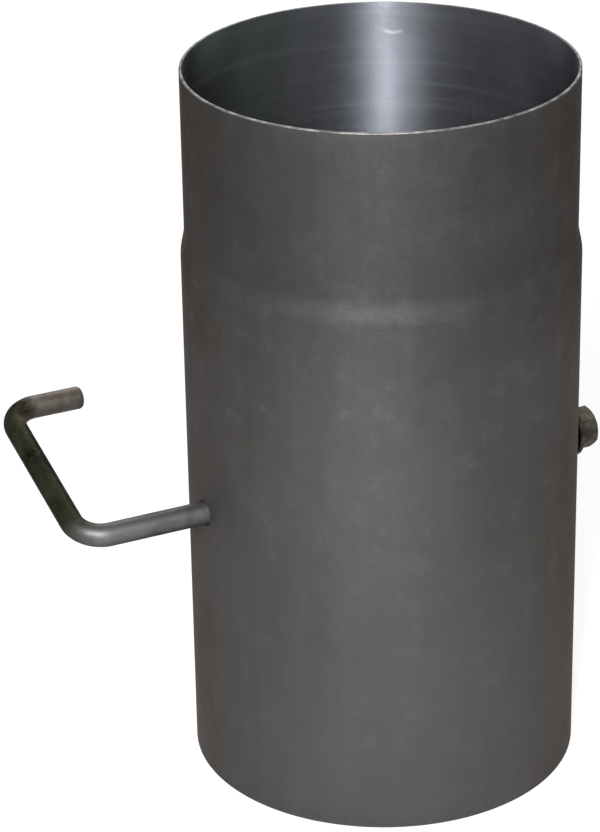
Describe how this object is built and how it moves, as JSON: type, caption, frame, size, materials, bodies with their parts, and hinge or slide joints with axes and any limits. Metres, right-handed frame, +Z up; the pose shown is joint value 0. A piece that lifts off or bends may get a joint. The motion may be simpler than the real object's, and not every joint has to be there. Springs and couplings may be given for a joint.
{
  "type": "stove pipe with damper",
  "caption": "Straight steel stove pipe with a swaged spigot end, and a round damper blade on a bent rod spindle that serves as its handle, held by a spring and nut.",
  "frame": {"origin": "centre of the whole part's bounding box, on the plane of the pipe's lower rim; the pipe's own axis stands at x 0.0158, y -0.00263", "axes": "+Z up the pipe towards its spigot, +X along the damper spindle towards its nut, so the handle is at -X and its arm leans to +Y"},
  "size_m": [0.1994, 0.1392, 0.25],
  "materials": {
    "pipe_steel": "bare dark mill-finish sheet steel, satin, faintly mottled",
    "rod_steel": "drawn round bar, dull, darkened by handling",
    "sheet_steel": "pressed sheet steel, satin",
    "zinc_steel": "zinc-plated steel, dull and browned",
    "spring_steel": "oil-blackened spring steel"
  },
  "bodies": {
    "pipe": {"pipe_shell": "pipe_steel", "inner_washer": "zinc_steel", "wall_washer": "zinc_steel"},
    "damper": {"damper_spindle": "rod_steel", "damper_blade": "sheet_steel", "saddle_clip_handle_side": "sheet_steel", "saddle_clip_spring_side": "sheet_steel", "clip_screw_1": "zinc_steel", "clip_screw_2": "zinc_steel", "clip_screw_3": "zinc_steel", "clip_screw_4": "zinc_steel", "clip_lock_washer_1": "spring_steel", "clip_lock_washer_2": "spring_steel", "clip_lock_washer_3": "spring_steel", "clip_lock_washer_4": "spring_steel", "clip_nut_1": "zinc_steel", "clip_nut_2": "zinc_steel", "clip_nut_3": "zinc_steel", "clip_nut_4": "zinc_steel", "friction_spring": "spring_steel", "outer_washer": "zinc_steel", "retaining_nut": "zinc_steel"}
  },
  "joints": [
    {"name": "damper_turn", "type": "hinge", "parent": "pipe", "child": "damper", "pos_m": [0.0158, -0.00263, 0.1016], "axis": [1, 0, 0], "continuous": true}
  ]
}
